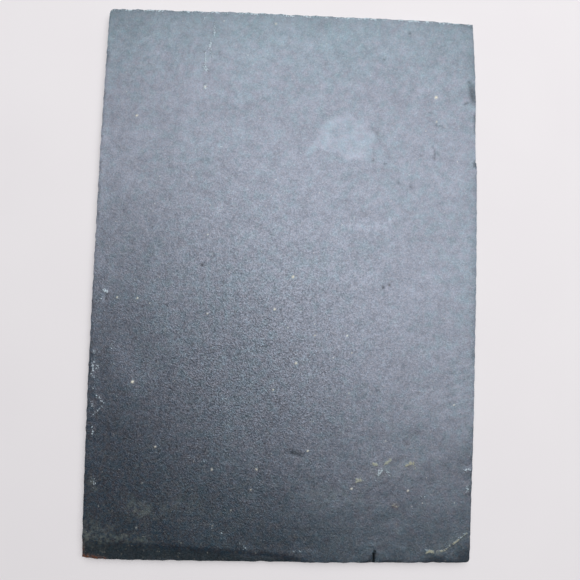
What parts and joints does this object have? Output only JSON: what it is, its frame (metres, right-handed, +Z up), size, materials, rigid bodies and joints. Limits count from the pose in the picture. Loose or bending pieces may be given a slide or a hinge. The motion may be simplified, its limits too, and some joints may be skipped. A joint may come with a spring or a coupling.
{
  "type": "stone slab",
  "caption": "Thin rectangular slab of dark blue-grey riven stone with hand-dressed edges, a chipped rim and a flat underside to rest on.",
  "frame": {"origin": "middle of the flat underside", "axes": "+Z up out of the riven face, +Y along the long side, +X across the slab"},
  "size_m": [0.2105, 0.3017, 0.005],
  "materials": {
    "slate": "riven, matte, with a soft sheen at low angles"
  },
  "bodies": {
    "root": {"stone_slab": "slate"}
  },
  "joints": []
}
